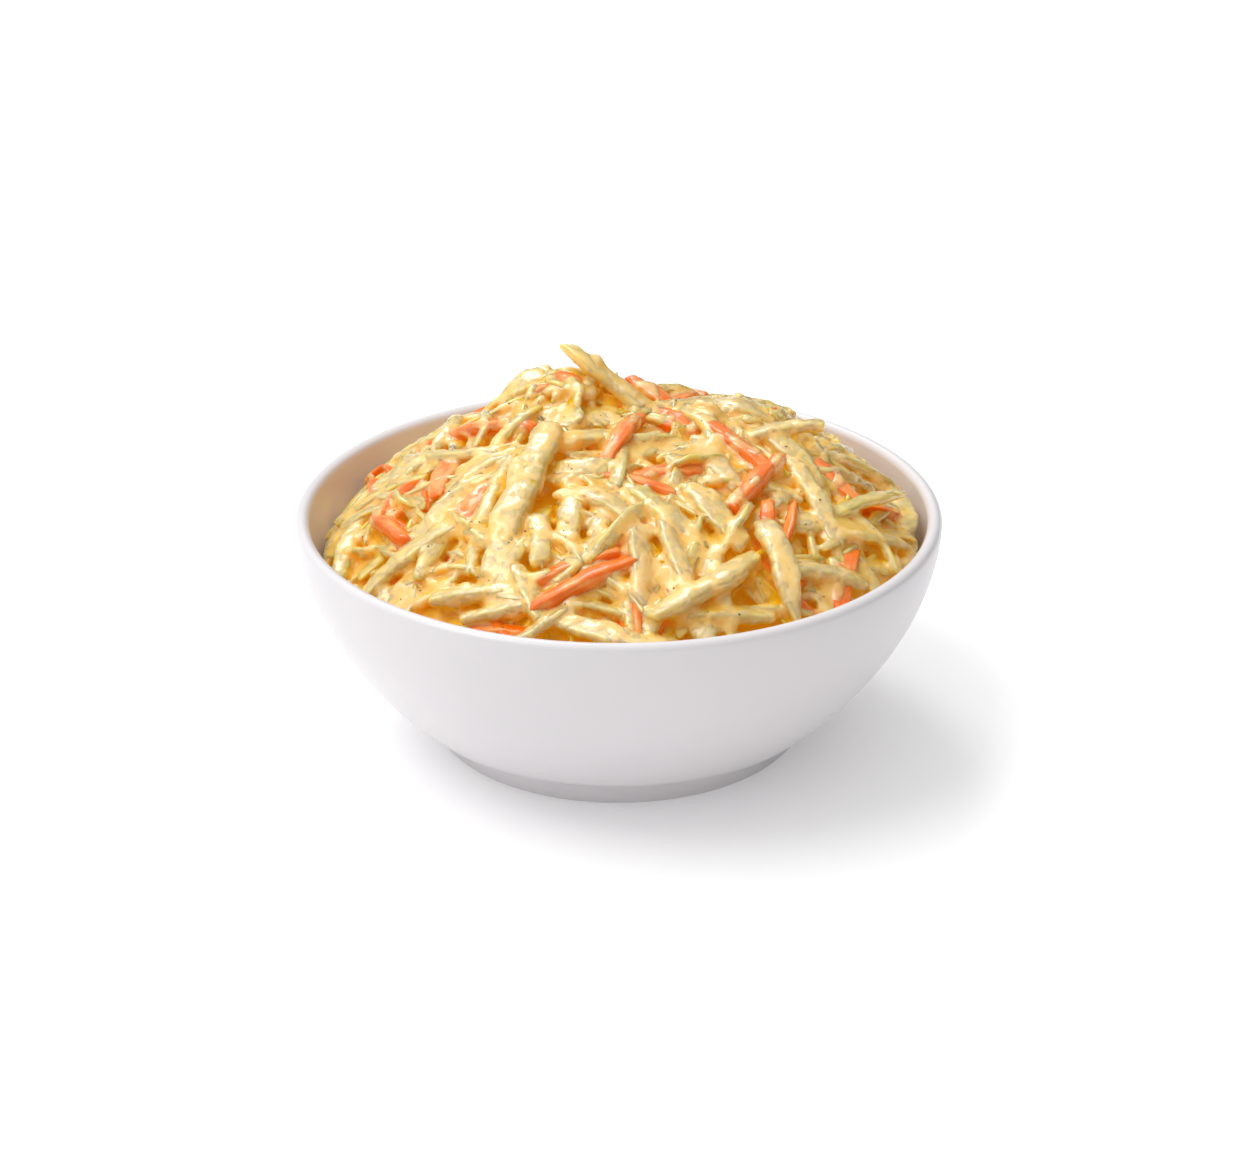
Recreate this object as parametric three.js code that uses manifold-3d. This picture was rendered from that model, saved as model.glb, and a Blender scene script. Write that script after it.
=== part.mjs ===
// A bowl of coleslaw: a round white footed bowl, heaped with dressed cabbage and carrot shreds.
// Millimetres, +Z up. The origin is the centre of the foot, on the surface that the bowl stands on.
// The front, which the heap's long shreds face, is -Y.
import * as THREE from "three";
import { mergeVertices } from "three/addons/utils/BufferGeometryUtils.js";
import Module from "manifold-3d";

const wasm = await Module();
wasm.setup();

// Bowl
const RIM_RADIUS = 70;
const BOWL_HEIGHT = 51.3;
const WALL = 3.2;
const LIP = WALL / 2; // radius of the rounded rim
const BODY_DEPTH = 62.5; // from the rim's centre to where the body's curve would close
const BODY_POWER = 1.75; // 2 would be an ellipse
const FOOT_TOP_RADIUS = 43.2;
const FOOT_BASE_RADIUS = 40.8;
const FOOT_HEIGHT = 6.4;
const FOOT_RING = 4; // width of the ring that the bowl stands on
const FOOT_DRAFT = 1; // of the ring's inner face
const FOOT_RECESS = 3.2;
const CREASE = 0.6; // height of the small step where foot and body meet
const FLOOR = FOOT_RECESS + 4; // top of the bowl's inside floor
const FLOOR_RADIUS = 34;
const FLOOR_RISE = 3; // of the rounded edge between floor and wall
const BOWL_SIDES = 60;
const OUTER_STEPS = 6;
const INNER_STEPS = 5;
const LIP_TURNS = [0.17, 0.34, 0.5, 0.66, 0.83]; // half turns round the lip at its points

// Heap, as the surface that its top layer of shreds lies on
const HEAP_RADIUS = 65.6;
const EDGE_HEIGHT = 42.5; // where it meets the bowl
const EDGE_TILT = 2; // how much higher that is on the right than in the middle
const DOME_HEIGHT = 65;
const DOME_POWER = 2.5;
const DOME_SHIFT = 3; // of the dome's top towards the back
const MOUNDS = [
  { x: -14, y: 18, rise: 7, spread: 11 },
  { x: 30, y: 20, rise: 3, spread: 16 },
];
const CORE_DEPTH = 2.1; // of the core below that surface
const CORE_LUMP = 0.6;
const LUMP_TURN = 0.5; // radians of the lumps' wave in each millimetre
const CORE_SIDES = 32;
const CORE_RINGS = 7;
const BOWL_GAP = 0.4; // between core and bowl
const SHRED_GAP = 0.7; // between shreds and bowl

// Shreds strewn over the heap by rule
const STREWN = 98;
const STREWN_RADIUS = 61;
const STREWN_JITTER = 3;
const STREWN_SEED = 7;
const GOLDEN_ANGLE = Math.PI * (3 - Math.sqrt(5));
const PLACED_CLEARANCE = 5; // of a strewn shred's middle from the middle of a placed one
const PLACED_STEPS = 4;
const STREWN_STEPS = 3;
const TAPER_POWER = 2.2; // how late a shred narrows towards its ends
const THINNEST_END = 0.45; // least share of its thickness that is left there
const SLOPE_STEP = 0.02; // share of a shred's length over which its slope is read
const FIT_TRIES = 14;
const FIT_MARGIN = 0.2;

// The shreds that stand out, each with the middle and heading that it has in the real heap.
// size is length in plan, width and thickness. rise lifts a shred off the heap, pitch is its climb
// along the heading, arch its bow and sweep its bend, as shares of its length. tip is what is left
// of its width at the far end, and tail at the near end.
const CABBAGE = [
  { at: [-20, -23], heading: 74, size: [44, 7.4, 4.2], rise: 3.4, pitch: 0.08, arch: 0.02, tail: 0.6 },
  { at: [-26, -24], heading: 76, size: [34, 3.4, 3], rise: 1.8, pitch: 0.05, sweep: 0.03 },
  { at: [-3, 16], heading: 159, size: [21, 4.8, 3], rise: 5.8, pitch: 0.42, tip: 0.12, tail: 1.1 },
  { at: [-5, -30], heading: -35, size: [20, 4.6, 3], rise: 2.4, sweep: 0.16, tip: 0.7, tail: 0.5 },
  { at: [-16, -37], heading: -88, size: [15, 4.8, 3.6], rise: 2.2, pitch: 0.1 },
  { at: [5, -45], heading: 98, size: [19, 6, 2.4], rise: 1.8, pitch: 0.1, tip: 0.15, roll: 30 },
  { at: [17, -48], heading: -142, size: [29, 5.6, 3.6], rise: 2.6, sweep: 0.1, arch: 0.06 },
  { at: [33, -41], heading: -74, size: [24, 5.6, 3.2], rise: 2.6, arch: 0.14, tip: 0.25 },
  { at: [20, -29], heading: -56, size: [21, 6.2, 3], rise: 2, arch: 0.03 },
  { at: [21, -9], heading: -66, size: [21, 5.6, 2.6], rise: 1.6, sweep: -0.05 },
  { at: [32, 4], heading: 10, size: [26, 4.2, 2.8], rise: 3.4, pitch: 0.46, tip: 0.7, tail: 0.7 },
  { at: [41, -14], heading: -70, size: [28, 4.4, 2.4], rise: 1.8, arch: 0.04 },
  { at: [52, -12], heading: 43, size: [27, 3.8, 2.2], rise: 4.6, pitch: 0.24, tip: 0.5, tail: 0.6 },
  { at: [53, -19], heading: 24, size: [20, 7, 2.2], rise: 2, pitch: 0.02, tip: 0.2 },
  { at: [-29, -46], heading: 170, size: [19, 4.6, 3.4], rise: 1.8, pitch: 0.06, tip: 0.7 },
  { at: [-24, -51], heading: -4, size: [16, 3.6, 2.6], rise: 1.6 },
  { at: [-18, -49], heading: -66, size: [15, 4.4, 3], rise: 2 },
  { at: [-43, -31], heading: 20, size: [24, 4.8, 3], rise: 1.8, arch: 0.05 },
  { at: [-36, 6], heading: -42, size: [28, 3.4, 2.6], rise: 1.8, sweep: -0.1 },
  { at: [-19, 20], heading: 25, size: [14, 7, 3.2], rise: 1, arch: 0.16, roll: 12 },
  { at: [-11, 21], heading: -40, size: [12, 6, 3.2], rise: 1.6, arch: 0.14, roll: -14 },
  { at: [14, 17], heading: 30, size: [17, 4.6, 2.8], rise: 1.8 },
  { at: [27, 16], heading: -20, size: [18, 7.4, 2.8], rise: 1, arch: 0.12, roll: -8 },
  { at: [-7, -42], heading: 38, size: [17, 6, 2.8], rise: 1, arch: 0.04 },
  { at: [42, -38], heading: 16, size: [20, 5, 3], rise: 1.6, arch: 0.06 },
  { at: [21, -53], heading: 10, size: [22, 5, 2.8], rise: 1.2 },
  { at: [-57, -13], heading: 79, size: [17, 4.6, 3], rise: 0, sweep: 0.08 },
  { at: [60, 2], heading: 94, size: [20, 4.6, 2.8], rise: 1, sweep: -0.14 },
];
const CARROT = [
  { at: [-28, 8], heading: -33, size: [24, 3.6, 3], rise: 2.4 },
  { at: [1, -3], heading: 70, size: [22, 4, 3], rise: 2.2, arch: 0.06 },
  { at: [4, -20], heading: -22, size: [17, 3.2, 2.6], rise: 1.6 },
  { at: [-29, -20], heading: 50, size: [17, 5, 3.4], rise: 1.2 },
  { at: [-48, -18], heading: -62, size: [17, 3.6, 3], rise: 1.8 },
  { at: [-54, 13], heading: 96, size: [15, 3, 3], rise: 0.6 },
  { at: [25, -3], heading: -50, size: [24, 3.8, 3.2], rise: 2.8 },
  { at: [29, -17], heading: 62, size: [24, 3.8, 3.2], rise: 3.4, pitch: 0.06 },
  { at: [31, -26], heading: 84, size: [11, 3.4, 2.8], rise: 1.6 },
  { at: [-8, -44], heading: 18, size: [18, 3.2, 2.8], rise: 1.6 },
  { at: [-7, -49], heading: 23, size: [23, 3.8, 3.2], rise: 2.6 },
  { at: [7, 20], heading: -36, size: [13, 4.2, 3.4], rise: 3, pitch: -0.3 },
  { at: [47, -4], heading: -50, size: [15, 3.4, 2.8], rise: 1.8 },
  { at: [56, -6], heading: 38, size: [12, 2.8, 2.6], rise: 1.2 },
  { at: [35, -37], heading: -64, size: [12, 3, 2.8], rise: 1 },
  { at: [-24, -53], heading: -18, size: [13, 3, 2.6], rise: -0.9 },
];
const DEFAULTS = {
  pitch: 0,
  arch: 0,
  sweep: 0,
  roll: 0,
  twist: 0,
  tip: 0.7,
  tail: 0.7,
  steps: PLACED_STEPS,
};

const { degToRad, lerp, seededRandom } = THREE.MathUtils;

// Radius of the bowl's body curve at a height, for the outer face or an inner one offset from it.
function bodyRadius(z, inset) {
  const centre = BOWL_HEIGHT - LIP;
  const depth = Math.min(1, Math.max(0, (centre - z) / (BODY_DEPTH - inset)));
  return (RIM_RADIUS - inset) * (1 - depth ** BODY_POWER) ** (1 / BODY_POWER);
}

// Points from one height to another on the body curve, first and last included.
function bodyCurve(fromZ, toZ, steps, inset) {
  return Array.from({ length: steps + 1 }, (_, i) => {
    const z = lerp(fromZ, toZ, i / steps);
    return new THREE.Vector2(bodyRadius(z, inset), z);
  });
}

// The bowl's section, up the outside from the axis, round the lip and down the inside.
function bowlProfile() {
  const lipCentre = { r: RIM_RADIUS - LIP, z: BOWL_HEIGHT - LIP };
  const lip = LIP_TURNS.map((turn) => {
    const angle = Math.PI * turn;
    return new THREE.Vector2(lipCentre.r + LIP * Math.cos(angle), lipCentre.z + LIP * Math.sin(angle));
  });
  return [
    new THREE.Vector2(0, FOOT_RECESS),
    new THREE.Vector2(FOOT_BASE_RADIUS - FOOT_RING - FOOT_DRAFT, FOOT_RECESS),
    new THREE.Vector2(FOOT_BASE_RADIUS - FOOT_RING, 0),
    new THREE.Vector2(FOOT_BASE_RADIUS, 0),
    new THREE.Vector2(FOOT_TOP_RADIUS, FOOT_HEIGHT),
    ...bodyCurve(FOOT_HEIGHT + CREASE, lipCentre.z, OUTER_STEPS, 0),
    ...lip,
    ...bodyCurve(lipCentre.z, FLOOR + FLOOR_RISE, INNER_STEPS, WALL),
    new THREE.Vector2(FLOOR_RADIUS, FLOOR),
    new THREE.Vector2(0, FLOOR),
  ];
}

// Inside radius of the bowl at a height, above the rim too.
function insideRadius(z) {
  return bodyRadius(Math.min(z, BOWL_HEIGHT - LIP), WALL);
}

// Height of the heap's lay surface over a point in plan.
function heapHeight(x, y) {
  const shift = DOME_SHIFT * (1 - (x * x + y * y) / HEAP_RADIUS ** 2);
  const reach = Math.min(1.1, Math.hypot(x, y - shift) / HEAP_RADIUS);
  const edge = EDGE_HEIGHT + (EDGE_TILT * x) / HEAP_RADIUS;
  const dome = edge + (DOME_HEIGHT - edge) * (1 - reach ** DOME_POWER);
  return MOUNDS.reduce((height, mound) => {
    const away = (x - mound.x) ** 2 + (y - mound.y) ** 2;
    return height + mound.rise * Math.exp(-away / (2 * mound.spread ** 2));
  }, dome);
}

// The dressed mass under the shreds: the bowl's inside below, a lumpy dome above.
function coreGeometry() {
  const wallTop = EDGE_HEIGHT - EDGE_TILT - CORE_DEPTH;
  const outer = [
    new THREE.Vector2(0, FLOOR + BOWL_GAP),
    new THREE.Vector2(FLOOR_RADIUS - BOWL_GAP, FLOOR + BOWL_GAP),
    ...bodyCurve(FLOOR + FLOOR_RISE + BOWL_GAP, wallTop, INNER_STEPS, WALL + BOWL_GAP),
  ];
  const topRadius = outer[outer.length - 1].x;
  for (let ring = CORE_RINGS - 1; ring >= 0; ring--) {
    outer.push(new THREE.Vector2((topRadius * ring) / CORE_RINGS, wallTop));
  }
  const geometry = new THREE.LatheGeometry(outer, CORE_SIDES);
  geometry.rotateX(Math.PI / 2);
  const place = geometry.getAttribute("position");
  for (let i = 0; i < place.count; i++) {
    const [x, y] = [place.getX(i), place.getY(i)];
    if (place.getZ(i) > wallTop - BOWL_GAP) {
      const lump = CORE_LUMP * Math.sin(LUMP_TURN * x + 1) * Math.cos(LUMP_TURN * y);
      place.setZ(i, heapHeight(x, y) - CORE_DEPTH + lump);
    }
  }
  return geometry;
}

// A point on a shred's centre line, s from -0.5 at its tail to 0.5 at its tip.
function centreLine(shred, s) {
  const angle = degToRad(shred.heading);
  const length = shred.size[0];
  const bow = 1 - 4 * s * s;
  const along = length * s;
  const aside = length * shred.sweep * bow;
  const x = shred.at[0] + Math.cos(angle) * along - Math.sin(angle) * aside;
  const y = shred.at[1] + Math.sin(angle) * along + Math.cos(angle) * aside;
  const z = heapHeight(x, y) + shred.rise + length * (shred.pitch * s + shred.arch * bow);
  return new THREE.Vector3(x, y, z);
}

// A shred as a closed strip: a stepped box bent onto its centre line, narrowed to its tip and tail.
function shredGeometry(shred) {
  const [, width, thickness] = shred.size;
  const geometry = new THREE.BoxGeometry(1, width, thickness, shred.steps, 1, 1);
  const place = geometry.getAttribute("position");
  const up = new THREE.Vector3(0, 0, 1);
  for (let i = 0; i < place.count; i++) {
    const s = place.getX(i);
    const ahead = centreLine(shred, s + SLOPE_STEP);
    const forward = ahead.sub(centreLine(shred, s - SLOPE_STEP)).normalize();
    const side = new THREE.Vector3().crossVectors(up, forward).normalize();
    const over = new THREE.Vector3().crossVectors(forward, side);
    const turn = degToRad(shred.roll + shred.twist * s);
    const end = s > 0 ? shred.tip : shred.tail;
    const taper = Math.abs(2 * s) ** TAPER_POWER;
    const across = place.getY(i) * lerp(1, end, taper);
    const above = place.getZ(i) * lerp(1, Math.max(THINNEST_END, end), taper);
    const point = centreLine(shred, s)
      .addScaledVector(side, across * Math.cos(turn) - above * Math.sin(turn))
      .addScaledVector(over, across * Math.sin(turn) + above * Math.cos(turn));
    place.setXYZ(i, point.x, point.y, point.z);
  }
  return geometry;
}

// How far a shred reaches past the room that the bowl leaves it.
function overshoot(geometry) {
  const place = geometry.getAttribute("position");
  let most = 0;
  for (let i = 0; i < place.count; i++) {
    const reach = Math.hypot(place.getX(i), place.getY(i));
    most = Math.max(most, reach - insideRadius(place.getZ(i)) + SHRED_GAP);
  }
  return most;
}

// The shred's strip, moved towards the axis until it clears the bowl, or null where none fits.
function fitted(shred) {
  const settled = { ...shred };
  for (let tries = 0; tries < FIT_TRIES; tries++) {
    const geometry = shredGeometry(settled);
    const past = overshoot(geometry);
    if (past <= 0) return geometry;
    const keep = 1 - (past + FIT_MARGIN) / Math.hypot(...settled.at);
    settled.at = settled.at.map((place) => place * keep);
  }
  return null;
}

// Shreds spread evenly over the heap on a spiral, each with drawn sizes and a drawn lie,
// left out where the middle of a placed one is near.
function strewnShreds(placed) {
  seededRandom(STREWN_SEED);
  const draw = (low, high) => lerp(low, high, seededRandom());
  const found = [];
  for (let i = 0; i < STREWN; i++) {
    const reach = STREWN_RADIUS * Math.sqrt((i + 0.5) / STREWN);
    const angle = i * GOLDEN_ANGLE;
    const at = [reach * Math.cos(angle), reach * Math.sin(angle)];
    const shred = {
      at: at.map((place) => place + draw(-STREWN_JITTER, STREWN_JITTER)),
      heading: draw(0, 360),
      size: [draw(14, 27), draw(3, 5.6), draw(2.2, 3.4)],
      rise: draw(-0.8, 1.1),
      pitch: draw(-0.1, 0.1),
      arch: draw(-0.02, 0.1),
      sweep: draw(-0.12, 0.12),
      roll: draw(-24, 24),
      twist: draw(-40, 40),
      tip: draw(0.3, 0.9),
      tail: draw(0.5, 1),
      steps: STREWN_STEPS,
    };
    const apart = (other) => Math.hypot(other.at[0] - shred.at[0], other.at[1] - shred.at[1]);
    if (placed.every((other) => apart(other) > PLACED_CLEARANCE)) found.push(shred);
  }
  return found;
}

// A geometry as a solid, with only its position left and its shared points merged.
function solidOf(geometry) {
  const bare = geometry.clone();
  bare.deleteAttribute("normal");
  bare.deleteAttribute("uv");
  const merged = mergeVertices(bare, 1e-4);
  return new wasm.Manifold(
    new wasm.Mesh({
      numProp: 3,
      vertProperties: merged.getAttribute("position").array,
      triVerts: new Uint32Array(merged.index.array),
    }),
  );
}

// A solid's outer shell as a flat-shaded geometry, with sealed hollows and loose scraps left out.
function geometryOf(solid) {
  const largest = solid.decompose().reduce((a, b) => (b.volume() > a.volume() ? b : a));
  const mesh = largest.getMesh();
  const geometry = new THREE.BufferGeometry();
  geometry.setAttribute("position", new THREE.BufferAttribute(mesh.vertProperties, 3));
  geometry.setIndex(new THREE.BufferAttribute(mesh.triVerts, 1));
  geometry.computeVertexNormals();
  return geometry;
}

function makeBowl() {
  const geometry = new THREE.LatheGeometry(bowlProfile(), BOWL_SIDES);
  geometry.rotateX(Math.PI / 2);
  const glaze = new THREE.MeshStandardMaterial({ color: 0xf2f0f2, roughness: 0.32, metalness: 0 });
  const bowl = new THREE.Mesh(geometry, glaze);
  bowl.name = "bowl";
  return bowl;
}

function makeColeslaw() {
  const placed = [...CABBAGE, ...CARROT].map((shred) => ({ ...DEFAULTS, ...shred }));
  const shreds = [...placed, ...strewnShreds(placed)];
  const strips = shreds.map(fitted).filter((strip) => strip !== null);
  const heap = wasm.Manifold.union([solidOf(coreGeometry()), ...strips.map(solidOf)]);
  const dressed = new THREE.MeshStandardMaterial({ color: 0xeedfab, roughness: 0.4, metalness: 0 });
  const coleslaw = new THREE.Mesh(geometryOf(heap), dressed);
  coleslaw.name = "coleslaw";
  return coleslaw;
}

const model = new THREE.Group();
model.add(makeBowl(), makeColeslaw());

export default model;
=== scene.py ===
"""The looks of a bowl of coleslaw: a white glazed bowl, cabbage and carrot shreds at true size,
the dressing that coats and joins them, and flecks of pepper and herb.

Shapes are worked out in millimetres, with the bowl's foot on the floor and the camera towards -Y.
"""
import math

import bpy
import numpy as np
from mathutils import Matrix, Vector
from mathutils.bvhtree import BVHTree


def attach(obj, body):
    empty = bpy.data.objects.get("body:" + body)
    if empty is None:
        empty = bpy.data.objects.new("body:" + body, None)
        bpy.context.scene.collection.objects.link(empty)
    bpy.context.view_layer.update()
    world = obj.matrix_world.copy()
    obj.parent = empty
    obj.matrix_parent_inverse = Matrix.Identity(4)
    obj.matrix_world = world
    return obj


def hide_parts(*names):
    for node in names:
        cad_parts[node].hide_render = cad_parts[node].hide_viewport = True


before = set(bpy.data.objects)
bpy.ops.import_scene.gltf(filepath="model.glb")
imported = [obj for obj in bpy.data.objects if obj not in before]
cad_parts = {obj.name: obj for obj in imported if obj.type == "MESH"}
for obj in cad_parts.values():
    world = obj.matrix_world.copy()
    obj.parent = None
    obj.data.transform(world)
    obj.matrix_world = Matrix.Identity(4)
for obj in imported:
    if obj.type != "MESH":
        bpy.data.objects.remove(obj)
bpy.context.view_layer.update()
MM = 0.001

# Bowl
RIM_RADIUS = 70.0
BOWL_HEIGHT = 51.3
WALL = 3.2
LIP = WALL / 2
BODY_DEPTH = 62.5
BODY_POWER = 1.75
FOOT_TOP_RADIUS = 43.2
FOOT_BASE_RADIUS = 40.8
FOOT_HEIGHT = 6.4
FOOT_RING = 4.0
FOOT_DRAFT = 1.0
FOOT_RECESS = 3.2
CREASE = 0.6
FLOOR = FOOT_RECESS + 4
FLOOR_RADIUS = 34.0
FLOOR_RISE = 3.0

# Heap, as the surface that its top layer of shreds lies on
HEAP_RADIUS = 65.6
EDGE_HEIGHT = 42.5
EDGE_TILT = 2.0
DOME_HEIGHT = 65.0
DOME_POWER = 2.5
DOME_SHIFT = 3.0
MOUNDS = [(-14, 18, 7.0, 11.0), (30, 20, 3.0, 16.0)]  # x, y, rise and spread
SHRED_GAP = 0.7  # between a shred and the bowl

# Core, the dressed mass under the shreds
CORE_DEPTH = 2.6  # below the lay surface, before its dressing is added
CORE_GAP = 0.15  # between that mass and the bowl, under the dressing
CORE_LOWER = 0.7  # by which the piece of its own lies deeper than the mass in the dressing
BOWL_GAP = 0.4  # between that piece and the bowl
CORE_LUMPS = (9, 5)  # lengths of its lumps
CORE_LUMP_HEIGHT = 0.7
CORE_EDGE_SHARE = 0.3  # of its depth that is gone at its edge
CORE_SEED = 3
SLAB = 3.0  # thickness at the edge of the mass in the dressing

# Shreds strewn by rule
STREWN = 98
STREWN_RADIUS = 61.0
STREWN_JITTER = 3.0
STREWN_SEED = 7
STREWN_SIZE = ((14, 27), (3, 5.6), (2.2, 3.4))  # least and most length, width and thickness
STREWN_TURNS = {
    "rise": (-0.8, 1.1), "pitch": (-0.1, 0.1), "arch": (-0.02, 0.1), "sweep": (-0.12, 0.12),
    "roll": (-24, 24), "twist": (-40, 40), "tip": (0.3, 0.9), "tail": (0.5, 1),
}
CARROT_EVERY = 7  # one strewn shred in so many is carrot, starting with this one
CARROT_FROM = 3
GREEN_EVERY = 9
GREEN_FROM = 5
STREWN_GREEN = 0.7
GOLDEN_ANGLE = math.pi * (3 - math.sqrt(5))
PLACED_CLEARANCE = 5.0  # between the middles of a strewn and a placed shred

# How a shred tapers, ends and is fitted into the bowl
PLACED_STEPS = 4  # along a placed shred, at which it has to clear the bowl
STREWN_STEPS = 3
FIT_TRIES = 14
FIT_MARGIN = 0.2
SLOPE_STEP = 0.02  # of its length, over which its direction is taken
TAPER_POWER = 2.2
THINNEST_END = 0.45
BLUNT_END = 0.4  # length of its rounded end over its width
LONGEST_END = 0.4  # of half its length
CUT_SLANT = 0.5
CUT_POWER = 5
SWELLS = ((0.08, 0.5, 0), (0.06, 1.3, 2), (0.03, 2.7, 3))  # size, rate along, turns around
CUP_LEVEL = 0.4  # of its half width squared, which stays where it is when the shred is cupped
RUFFLE_RATE = 0.9
WAVER = 0.05
WAVER_RATE = 0.45
LAY_SPREAD = 400.0  # over which the shreds' places in the material's patterns are spread
GREEN_RATE = 0.25

# Thin shreds that fill in between and under the large ones
FILLERS = 820
FILLER_RADIUS = 63.0
FILLER_SEED = 23
FILLER_SIZE = ((7, 21), (1.5, 3.8), (1.2, 2.2))
FILLER_TURNS = {
    "heading": (0, 360), "pitch": (-0.16, 0.16), "arch": (-0.05, 0.12), "sweep": (-0.2, 0.2),
    "twist": (-80, 80), "tip": (0.55, 1), "tail": (0.6, 1),
}
FILLER_ROLL = (-50, 50)
FILLER_CUP = (0, 0.12)
FILLER_RUFFLE = (0, 0.35)
HIGH_SHARE = 0.25  # of them that lie on the surface, while the others lie under it
HIGH_RISE = (0, 1.7)
LOW_RISE = (-2.8, 0.3)
EVEN_RADIUS = 52.0  # beyond which none rises over the lay surface by more than this
EVEN_RISE = 0.3
LEAF_EVERY = 9  # one in so many is a ruffled bit of leaf
LEAF_SIZE = ((8, 15), (5, 8), (1.5, 2.0))
LEAF_CUP = (0.1, 0.25)
LEAF_RUFFLE = (0.5, 1.1)
MOUND_BITS = 70  # short ones on the mounds
MOUND_SIZE = ((3.5, 8), (2, 3.8), (1.6, 2.8))
MOUND_REACH = 0.75  # of a mound's spread
MOUND_RISE = (0.4, 3.4)
MOUND_ROLL = (-70, 70)
FILLER_CARROT = 0.07  # share of them that is carrot, unless it is wider than this
CARROT_WIDEST = 4.5
FILLER_GREEN = 0.06
GREEN_SHARE = (0.3, 1)

# The mesh of each kind of shred, the seed of its draws and the most that its tones reach
FORMS = {
    "cabbage_large": {"stations": 26, "around": 14, "squareness": 3.4, "seed": 41, "tone": 0.5},
    "cabbage_fine": {"stations": 12, "around": 7, "squareness": 3.0, "seed": 42, "tone": 1},
    "carrot_large": {"stations": 22, "around": 16, "squareness": 4.6, "seed": 43, "tone": 1},
    "carrot_fine": {"stations": 12, "around": 8, "squareness": 3.6, "seed": 44, "tone": 1},
}

# Dressing
VOXEL = 0.47
DRESSING_RELAX = 3
FILL_RELAX = 12
FILL_MOST = 1.0
COAT = 0.04  # of dressing on the cabbage everywhere, before its patches
PATCHES = (15, 8, 4.5)  # lengths of the waves that its patches are made of
PATCH_HEIGHT = 0.3
PATCH_FROM = 0.15
CURDS = (3.4, 2.2, 1.5)
CURD_HEIGHT = 0.1
KNOBS = (6.5, 4)  # on the knobbly mound only
KNOB_HEIGHT = 0.6
WAVES = 5  # of each length
CARROT_BARE = 0.42  # by which the dressing's skin drops under a carrot's face where it is bare
CARROT_REACH = 1.8  # from a carrot, within which the dressing takes on its colour
TONE_REACH = 2.5
SKIN_GAP = 0.05  # between the dressing and the bowl
# The ridge measure sets a painted highlight of cream, and on its hollow side a painted shade of
# yellow
RIDGE_HEIGHT = 0.35  # over its surroundings, where a ridge counts as full
DEEPEST = CORE_DEPTH + 4  # under the lay surface, where the skin is cut away
DRESSING_TRIANGLES = 215000  # before its hidden faces are cut away

# Openness, the share of directions from which light comes to a point
OPEN_RAYS = 12
OPEN_LOWEST = 0.2  # height of the lowest ray over its length
OPEN_START = 0.2
OPEN_REACH = 14.0
OPEN_LEAST = 2.0  # sum of the rays' weights that counts as full, for faces turned away

# Flecks of pepper and herb
FLECKS = 130
FLECK_SEED = 31
FLECK_RADIUS = 61.0
FLECK_SIZE = (0.14, 0.36)
FLECK_FLATNESS = 0.45
FLECK_OUT = 0.06
FLECK_TOP = 120.0  # height from which they fall onto the heap

# Colours, as linear red, green and blue
PALE = (0.92, 0.56, 0.085)
# Deeper tone of some shreds and of the dressed mass, and painted shade in the creases
YELLOW = (0.90, 0.49, 0.015)
# Paler tone of some shreds and of the clouds in them, and a painted highlight on the ridges
CREAM = (0.94, 0.64, 0.32)
# Painted shade, mixed into cabbage and dressing where they are shut in; also the dressed mass's own
# colour
GOLDEN = (0.82, 0.42, 0.001)
GREEN = (0.64, 0.56, 0.06)
ORANGE = (0.92, 0.21, 0.004)
# The carrot's own deeper orange along its fibres, and painted shade where it is shut in
DEEP_ORANGE = (0.84, 0.14, 0.002)
PINK_CREAM = (0.95, 0.44, 0.13)
PEPPER = (0.16, 0.08, 0.02)
HERB = (0.14, 0.15, 0.03)
PEPPER_SPOTS = (0.25, 0.14, 0.04)
GLAZE = (0.69, 0.67, 0.685)
GLAZE_CLOUDS = (0.72, 0.695, 0.71)
SWEEP = (0.83, 0.825, 0.83)
SWEEP_CLOUDS = (0.84, 0.835, 0.84)
CABBAGE_SCATTER = (4.5, 3.0, 1.2)  # how far red, green and blue light spreads in it, in mm
CARROT_SCATTER = (2.0, 0.7, 0.25)
# A painted glow in the hollows, of this colour and strength, stands for the light that the shreds
# let through
PAINTED_GLOW_COLOUR = (0.78, 0.44, 0.02)  # what the shreds let through into the hollows
PAINTED_GLOW_STRENGTH = 0.15
# Gloss left in the hollows, kept low as painted shade on their reflections
SHUT_GLOSS = 0.02

# The photograph's view
CAMERA_LENS = 85.7
CAMERA_SENSOR = 36.0
CAMERA_ELEVATION = 24.95
CAMERA_DISTANCE = 658.6
CAMERA_TARGET = (2.5, 0.0, 32.4)

# Studio
WORLD_HORIZON = 0.2
WORLD_ZENITH = 1.11
WORLD_LEAN = 0.36  # added to the left of the world and taken off its right
KEY_STRENGTH = 1.0
GLINTS_STRENGTH = 0.7
FLOOR_GLOW = 0.2
FLOOR_SIZE = 60  # in metres, so that its edge stays near the horizon


def shred(at, size, **lie):
    """A shred's lie: its middle in plan, its length, width and thickness, and how it is turned."""
    full = {"rise": 1.5, "pitch": 0, "arch": 0, "sweep": 0, "roll": 0, "twist": 0,
            "tip": 0.7, "tail": 0.7, "steps": PLACED_STEPS, "green": 0, "cup": 0, "ruffle": 0}
    full.update(lie, at=np.array(at, float), size=size)
    return full


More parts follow.
